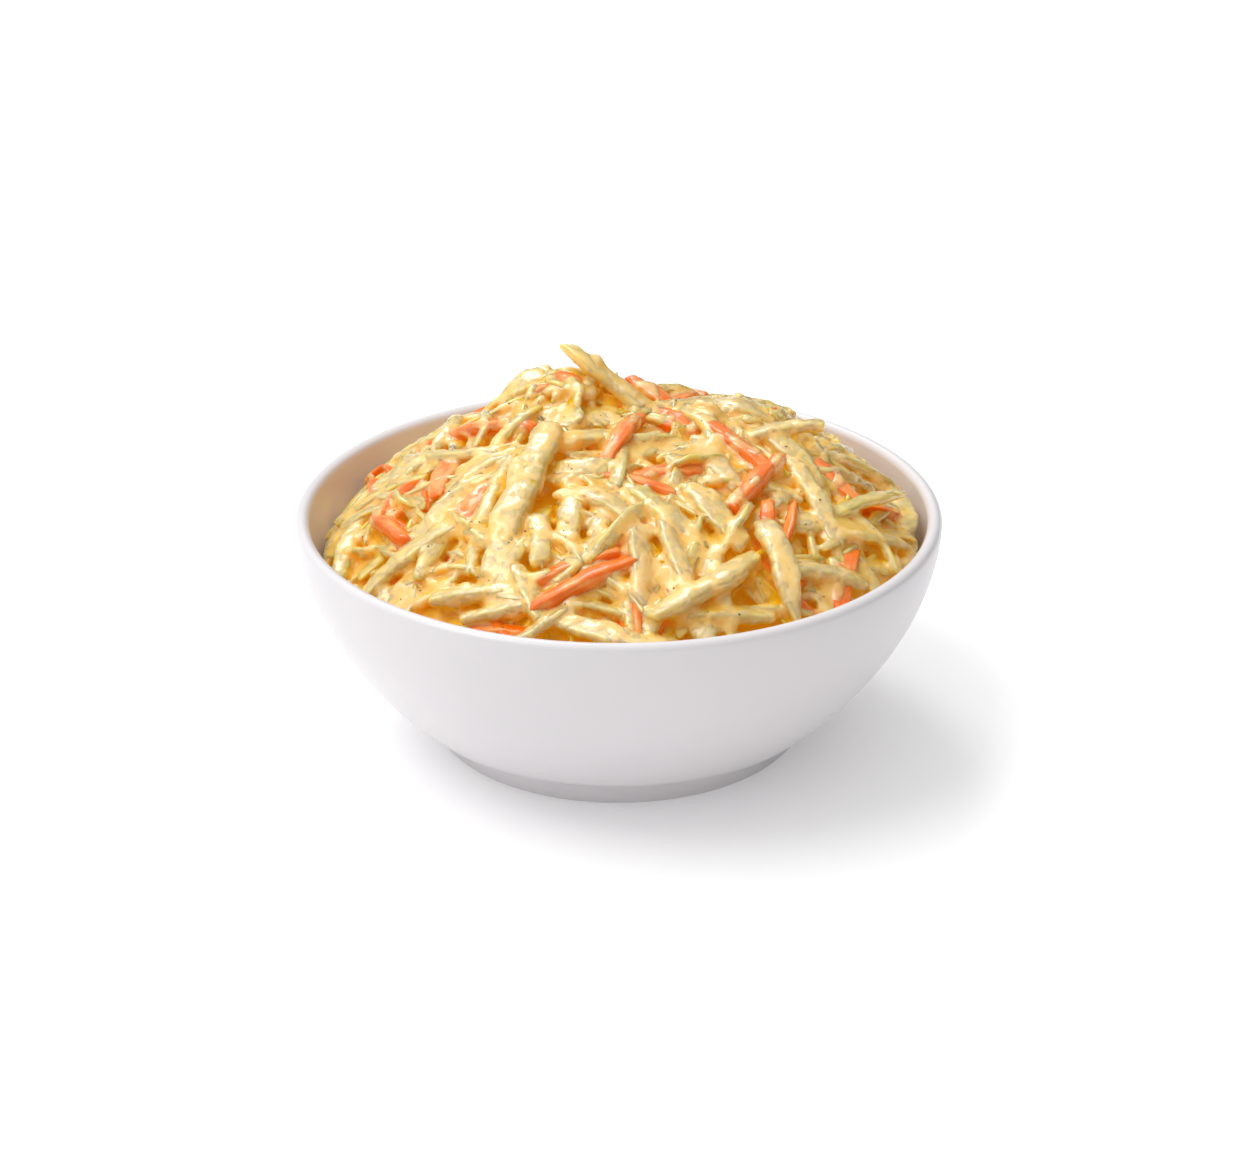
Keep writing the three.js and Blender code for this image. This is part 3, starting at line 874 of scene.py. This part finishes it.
def attribute(tree, name):
    """One of the values that the mesh carries at its points."""
    return add(tree, "ShaderNodeAttribute", attribute_name=name)


def stretched(tree, source, scale):
    node = add(tree, "ShaderNodeMapping", Scale=scale)
    tree.links.new(source, node.inputs["Vector"])
    return node.outputs["Vector"]


def noise(tree, vector, scale, detail=3.0):
    """Noise from 0 to 1 with that many cells a metre, or a mm where the vector is in mm."""
    node = add(tree, "ShaderNodeTexNoise", Scale=scale, Detail=detail)
    tree.links.new(vector, node.inputs["Vector"])
    return node.outputs["Fac"]


def span(tree, value, low, high, to_low=0.0, to_high=1.0):
    """The value eased from to_low, where it is low or less, to to_high, where it is high or more."""
    node = add(
        tree, "ShaderNodeMapRange", interpolation_type="SMOOTHSTEP",
        From_Min=low, From_Max=high, To_Min=to_low, To_Max=to_high,
    )
    tree.links.new(value, node.inputs["Value"])
    return node.outputs["Result"]


def mixed(tree, factor, first, second):
    """From the first colour to the second by the factor. Each is a colour or a node's output."""
    node = add(tree, "ShaderNodeMix", data_type="RGBA")
    tree.links.new(factor, node.inputs["Factor"])
    for socket, value in ((node.inputs["A"], first), (node.inputs["B"], second)):
        if isinstance(value, tuple):
            socket.default_value = (*value, 1)
        else:
            tree.links.new(value, socket)
    return node.outputs["Result"]


def times(tree, first, second):
    node = add(tree, "ShaderNodeMath", operation="MULTIPLY")
    tree.links.new(first, node.inputs[0])
    tree.links.new(second, node.inputs[1])
    return node.outputs["Value"]


def bumped(tree, shader, height, distance, strength=1.0):
    """Bump on a shader from a height of 0 to 1, which stands for that distance in metres."""
    node = add(tree, "ShaderNodeBump", Distance=distance, Strength=strength)
    tree.links.new(height, node.inputs["Height"])
    tree.links.new(node.outputs["Normal"], shader.inputs["Normal"])


def scattering(shader, weight, radii):
    """Light that spreads under the surface, by its radii in mm for red, green and blue."""
    shader.inputs["Subsurface Weight"].default_value = weight
    shader.inputs["Subsurface Radius"].default_value = radii
    shader.inputs["Subsurface Scale"].default_value = MM


def wet(tree, shader, roughness, coat=1.0, coat_roughness=0.2, gloss=0.8):
    """A moist surface. Its hollows lose their gloss, as painted shade that keeps reflections out
    of them, and get a painted glow for the light that the shreds let through.
    """
    is_open = attribute(tree, "open").outputs["Fac"]
    # Painted shade on reflections: gloss and coat fall away in the hollows
    specular = span(tree, is_open, 0.5, 1.0, SHUT_GLOSS, gloss)
    tree.links.new(specular, shader.inputs["Specular IOR Level"])
    tree.links.new(span(tree, is_open, 0.5, 1.0, 0, coat), shader.inputs["Coat Weight"])
    # Painted glow in the hollows, fading out where they open up
    tree.links.new(span(tree, is_open, 0.0, 0.6, PAINTED_GLOW_STRENGTH, 0), shader.inputs["Emission Strength"])
    shader.inputs["Emission Color"].default_value = (*PAINTED_GLOW_COLOUR, 1)
    shader.inputs["Roughness"].default_value = roughness
    shader.inputs["Coat Roughness"].default_value = coat_roughness


def cabbage_colour(tree, clouds):
    """Cabbage under its dressing: each shred of its own tone, clouded and green in places, with a
    painted highlight of cream on its ridges, painted shade of yellow in its creases and painted
    shade of deep gold in the hollows."""
    tone = attribute(tree, "tone").outputs["Fac"]
    colour = mixed(tree, span(tree, tone, 0.35, 0.9), PALE, YELLOW)
    colour = mixed(tree, span(tree, tone, 0.3, 0.0, 0, 0.35), colour, CREAM)
    colour = mixed(tree, span(tree, clouds, 0.35, 0.75, 0, 0.25), colour, CREAM)
    ridge = attribute(tree, "ridge").outputs["Fac"]
    # Painted highlight: cream on the ridges. Painted shade: yellow in the creases
    colour = mixed(tree, span(tree, ridge, 0.0, 1.1, 0, 0.8), colour, CREAM)
    colour = mixed(tree, span(tree, ridge, -0.8, 0.0, 0.4, 0), colour, YELLOW)
    green = attribute(tree, "green").outputs["Fac"]
    green = times(tree, green, span(tree, clouds, 0.25, 0.6, 0, 0.8))
    colour = mixed(tree, green, colour, GREEN)
    # Painted shade: the less open a point is, the more deep gold is mixed in
    painted_shade = span(tree, attribute(tree, "open").outputs["Fac"], 0.1, 0.95, 1, 0)
    return mixed(tree, painted_shade, colour, GOLDEN)


def cabbage_material():
    material, tree, shader = new_material("dressed cabbage")
    lay = attribute(tree, "lay").outputs["Vector"]
    fibres = noise(tree, stretched(tree, lay, (0.12, 1.4, 1.4)), 1.0, 3.0)
    clouds = noise(tree, stretched(tree, lay, (0.22, 0.22, 0.22)), 1.0, 2.0)
    tree.links.new(cabbage_colour(tree, clouds), shader.inputs["Base Color"])
    bumped(tree, shader, fibres, 0.00018, 0.7)
    wet(tree, shader, 0.38)
    scattering(shader, 0.85, CABBAGE_SCATTER)
    return material


def carrot_material():
    material, tree, shader = new_material("dressed carrot")
    lay = attribute(tree, "lay").outputs["Vector"]
    fibres = noise(tree, stretched(tree, lay, (0.15, 1.8, 1.8)), 1.0, 3.0)
    smears = noise(tree, stretched(tree, lay, (0.16, 0.35, 0.35)), 1.0, 2.5)
    colour = mixed(tree, span(tree, fibres, 0.35, 0.7), DEEP_ORANGE, ORANGE)
    colour = mixed(tree, span(tree, smears, 0.42, 0.66, 0, 0.7), colour, PINK_CREAM)
    # Painted shade: the carrot turns deep orange where it is shut in
    painted_shade = span(tree, attribute(tree, "open").outputs["Fac"], 0.05, 0.4, 0.7, 0)
    colour = mixed(tree, painted_shade, colour, DEEP_ORANGE)
    tree.links.new(colour, shader.inputs["Base Color"])
    bumped(tree, shader, smears, 0.0004, 0.6)
    wet(tree, shader, 0.36, coat=0.4, coat_roughness=0.12, gloss=0.35)
    scattering(shader, 0.3, CARROT_SCATTER)
    return material


def dressing_material():
    material, tree, shader = new_material("dressing")
    place = add(tree, "ShaderNodeTexCoord").outputs["Object"]
    clouds = noise(tree, place, 260.0, 3.0)
    grain = noise(tree, place, 1000.0, 2.5)
    colour = cabbage_colour(tree, clouds)
    near_carrot = attribute(tree, "near_carrot").outputs["Fac"]
    colour = mixed(tree, span(tree, near_carrot, 0.55, 0.85, 0, 0.6), colour, PINK_CREAM)
    colour = mixed(tree, span(tree, near_carrot, 0.8, 1.0, 0, 0.9), colour, ORANGE)
    tree.links.new(colour, shader.inputs["Base Color"])
    bumped(tree, shader, grain, 0.0003, 0.5)
    wet(tree, shader, 0.36)
    scattering(shader, 0.85, CABBAGE_SCATTER)
    return material


def core_material():
    material, tree, shader = new_material("dressed mass")
    place = add(tree, "ShaderNodeTexCoord").outputs["Object"]
    clouds = noise(tree, place, 200.0, 3.0)
    colour = mixed(tree, span(tree, clouds, 0.35, 0.7), GOLDEN, YELLOW)
    tree.links.new(colour, shader.inputs["Base Color"])
    bumped(tree, shader, clouds, 0.001, 0.6)
    shader.inputs["Roughness"].default_value = 0.5
    shader.inputs["Specular IOR Level"].default_value = 0.1
    scattering(shader, 0.6, CABBAGE_SCATTER)
    return material


def fleck_material():
    material, tree, shader = new_material("pepper and herb")
    tone = attribute(tree, "tone").outputs["Fac"]
    place = add(tree, "ShaderNodeTexCoord").outputs["Object"]
    spots = noise(tree, place, 2200.0, 2.0)
    colour = mixed(tree, span(tree, tone, 0.3, 0.8), PEPPER, HERB)
    colour = mixed(tree, span(tree, spots, 0.5, 0.7, 0, 0.4), colour, PEPPER_SPOTS)
    tree.links.new(colour, shader.inputs["Base Color"])
    shader.inputs["Roughness"].default_value = 0.45
    return material


def glaze_material():
    material, tree, shader = new_material("white glaze")
    place = add(tree, "ShaderNodeTexCoord").outputs["Object"]
    cloud = noise(tree, place, 18.0, 3.0)
    ripple = noise(tree, place, 45.0, 2.0)
    pits = noise(tree, place, 900.0, 2.0)
    colour = mixed(tree, span(tree, cloud, 0.3, 0.7), GLAZE, GLAZE_CLOUDS)
    tree.links.new(colour, shader.inputs["Base Color"])
    tree.links.new(span(tree, pits, 0.3, 0.8, 0.3, 0.42), shader.inputs["Roughness"])
    bumped(tree, shader, ripple, 0.0003, 0.25)
    shader.inputs["Coat Weight"].default_value = 0.25
    shader.inputs["Coat Roughness"].default_value = 0.2
    shader.inputs["IOR"].default_value = 1.45
    return material


def floor_material():
    material, tree, shader = new_material("white sweep")
    place = add(tree, "ShaderNodeTexCoord").outputs["Object"]
    cloud = noise(tree, place, 3.0, 2.0)
    colour = mixed(tree, span(tree, cloud, 0.3, 0.7), SWEEP, SWEEP_CLOUDS)
    tree.links.new(colour, shader.inputs["Base Color"])
    shader.inputs["Roughness"].default_value = 0.7
    shader.inputs["Emission Color"].default_value = (1, 1, 1, 1)
    shader.inputs["Emission Strength"].default_value = FLOOR_GLOW
    return material


def add_camera():
    """The camera, at the photograph's angle."""
    data = bpy.data.cameras.new("camera")
    data.lens = CAMERA_LENS
    data.sensor_width = CAMERA_SENSOR
    data.sensor_fit = "HORIZONTAL"
    camera = bpy.data.objects.new("camera", data)
    up = math.radians(CAMERA_ELEVATION)
    back = Vector((0, -math.cos(up), math.sin(up)))
    camera.location = (Vector(CAMERA_TARGET) + back * CAMERA_DISTANCE) * MM
    camera.rotation_euler = back.to_track_quat("Z", "Y").to_euler()
    bpy.context.scene.collection.objects.link(camera)
    bpy.context.scene.camera = camera


def add_sun(name, side, back, elevation, strength, angle):
    """A soft light from far away: side and back give its direction in plan."""
    data = bpy.data.lights.new(name, "SUN")
    data.energy = strength
    data.angle = math.radians(angle)
    light = bpy.data.objects.new(name, data)
    plan = Vector((side, back, 0)).normalized() * math.cos(math.radians(elevation))
    source = plan + Vector((0, 0, math.sin(math.radians(elevation))))
    light.rotation_euler = source.to_track_quat("Z", "Y").to_euler()
    bpy.context.scene.collection.objects.link(light)


def add_studio():
    """A white world, lightest overhead and on the left, and two soft suns from the left and back."""
    world = bpy.data.worlds.new("studio")
    world.use_nodes = True
    tree = world.node_tree
    tree.nodes["Background"].inputs["Color"].default_value = (1.0, 1.0, 1.0, 1)
    direction = add(tree, "ShaderNodeTexCoord").outputs["Generated"]
    parts = add(tree, "ShaderNodeSeparateXYZ")
    tree.links.new(direction, parts.inputs["Vector"])
    height = span(tree, parts.outputs["Z"], 0, 1, WORLD_HORIZON, WORLD_ZENITH)
    lean = span(tree, parts.outputs["X"], -1, 1, WORLD_LEAN, -WORLD_LEAN)
    strength = tree.nodes.new("ShaderNodeMath")
    tree.links.new(height, strength.inputs[0])
    tree.links.new(lean, strength.inputs[1])
    tree.links.new(strength.outputs["Value"], tree.nodes["Background"].inputs["Strength"])
    bpy.context.scene.world = world
    add_sun("key", -1.0, -0.25, 60, KEY_STRENGTH, 30)
    add_sun("glints", -0.35, 1.0, 52, GLINTS_STRENGTH, 18)
    bpy.context.scene.view_settings.view_transform = "Standard"


def all_shreds():
    """The four pieces of shreds, by name, without the shreds that don't fit into the bowl."""
    strewn = strewn_shreds(CABBAGE + CARROT)
    fillers = filler_shreds(np.random.default_rng(FILLER_SEED))
    kinds = {
        "cabbage_large": CABBAGE + [lie for lie in strewn if not lie["carrot"]],
        "cabbage_fine": [lie for lie in fillers if not lie["carrot"]],
        "carrot_large": CARROT + [lie for lie in strewn if lie["carrot"]],
        "carrot_fine": [lie for lie in fillers if lie["carrot"]],
    }
    made = {}
    for name, lies in kinds.items():
        lies = [lie for lie in map(fitted, lies) if lie is not None]
        made[name] = heap_piece(name, lies, FORMS[name])
    return made


add_camera()
add_studio()

pieces = all_shreds()
cabbage_pieces = [pieces["cabbage_large"], pieces["cabbage_fine"]]
carrot_pieces = [pieces["carrot_large"], pieces["carrot_fine"]]
pieces["dressing"] = dressing_over(cabbage_pieces, carrot_pieces)
skin_tree = tree_of(pieces["dressing"])
for piece in cabbage_pieces + carrot_pieces:
    add_openness(piece, skin_tree)
pieces["flecks"] = fleck_piece(list(pieces.values()))
pieces["core"] = core_piece("core", CORE_DEPTH + CORE_LOWER, BOWL_GAP, FLOOR + BOWL_GAP)

cabbage = cabbage_material()
carrot = carrot_material()
for piece in cabbage_pieces:
    piece.data.materials.append(cabbage)
for piece in carrot_pieces:
    piece.data.materials.append(carrot)
pieces["dressing"].data.materials.append(dressing_material())
pieces["flecks"].data.materials.append(fleck_material())
pieces["core"].data.materials.append(core_material())

bowl = revolved("bowl_glazed", bowl_profile(), 160)
bowl.data.materials.append(glaze_material())
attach(bowl, "root")
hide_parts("bowl")

for piece in pieces.values():
    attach(piece, "root")
    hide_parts("coleslaw")

bpy.ops.mesh.primitive_plane_add(size=FLOOR_SIZE)
floor = bpy.context.object
floor.name = "floor"
floor.data.materials.append(floor_material())
